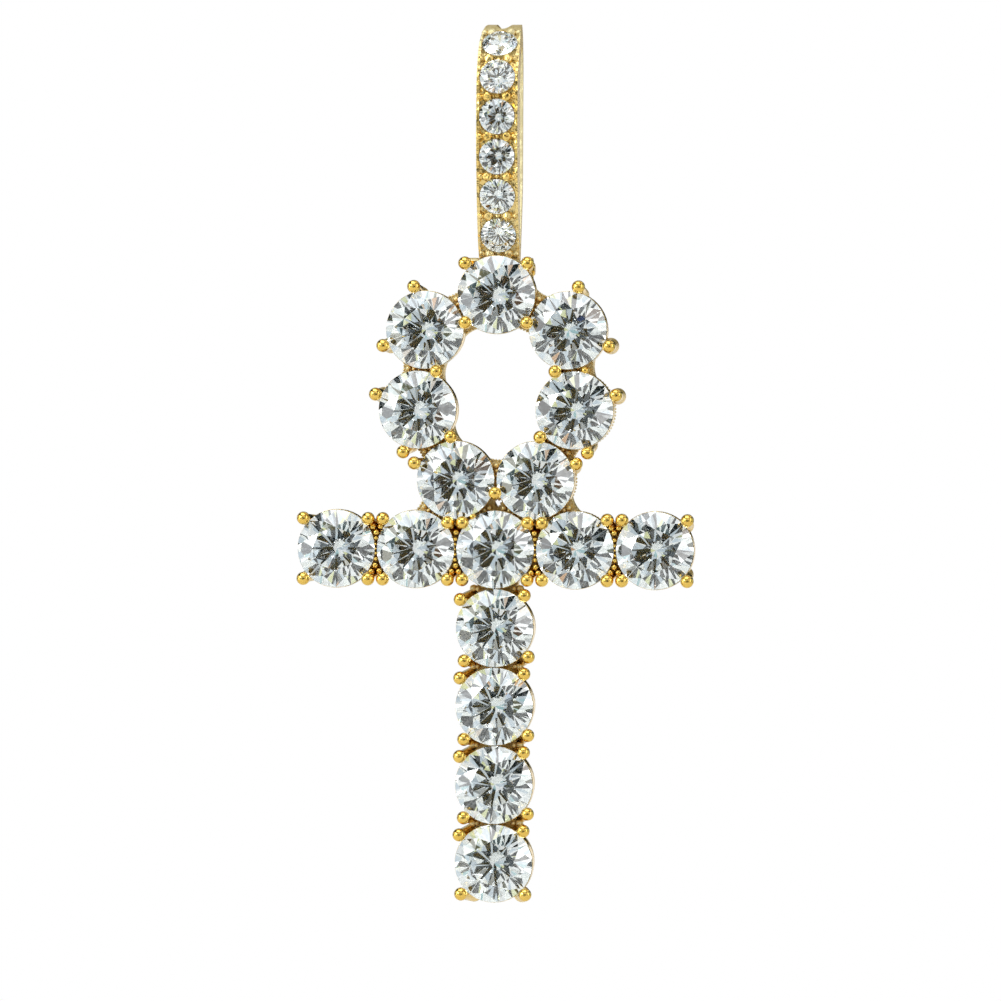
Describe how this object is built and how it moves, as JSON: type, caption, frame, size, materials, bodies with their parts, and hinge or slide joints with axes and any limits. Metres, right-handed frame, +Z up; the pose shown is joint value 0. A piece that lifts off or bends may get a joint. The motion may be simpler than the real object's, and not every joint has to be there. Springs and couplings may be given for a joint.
{
  "type": "ankh pendant",
  "caption": "Ankh pendant of round stones in ball-prong settings, hinged to a stone-set loop bail that a chain passes through.",
  "frame": {"origin": "chain seat: the highest point inside the bail, on the pendant's middle plane, where it hangs on a chain", "axes": "+Z up, +Y from the set front to the back, +X to the viewer's right"},
  "size_m": [0.0192, 0.0066, 0.0425],
  "materials": {
    "plated_metal": "polished gold plate",
    "pin_metal": "drawn wire, polished gold plate",
    "clear_stone": "faceted and polished cubic zirconia"
  },
  "bodies": {
    "bail": {"bail": "plated_metal", "bail_stone_1": "clear_stone", "bail_stone_2": "clear_stone", "bail_stone_3": "clear_stone", "bail_stone_4": "clear_stone", "bail_stone_5": "clear_stone", "bail_stone_6": "clear_stone"},
    "pendant": {"ankh_frame": "plated_metal", "hinge_pin": "pin_metal", "stone_loop_top": "clear_stone", "stone_loop_high_left": "clear_stone", "stone_loop_high_right": "clear_stone", "stone_loop_low_left": "clear_stone", "stone_loop_low_right": "clear_stone", "stone_loop_foot_left": "clear_stone", "stone_loop_foot_right": "clear_stone", "stone_bar_1": "clear_stone", "stone_bar_2": "clear_stone", "stone_bar_3": "clear_stone", "stone_bar_4": "clear_stone", "stone_bar_5": "clear_stone", "stone_post_1": "clear_stone", "stone_post_2": "clear_stone", "stone_post_3": "clear_stone", "stone_post_4": "clear_stone"}
  },
  "joints": [
    {"name": "bail_hinge", "type": "hinge", "parent": "bail", "child": "pendant", "pos_m": [0, -0.00145, -0.01085], "axis": [1, 0, 0], "range_deg": [-12, 100]}
  ]
}
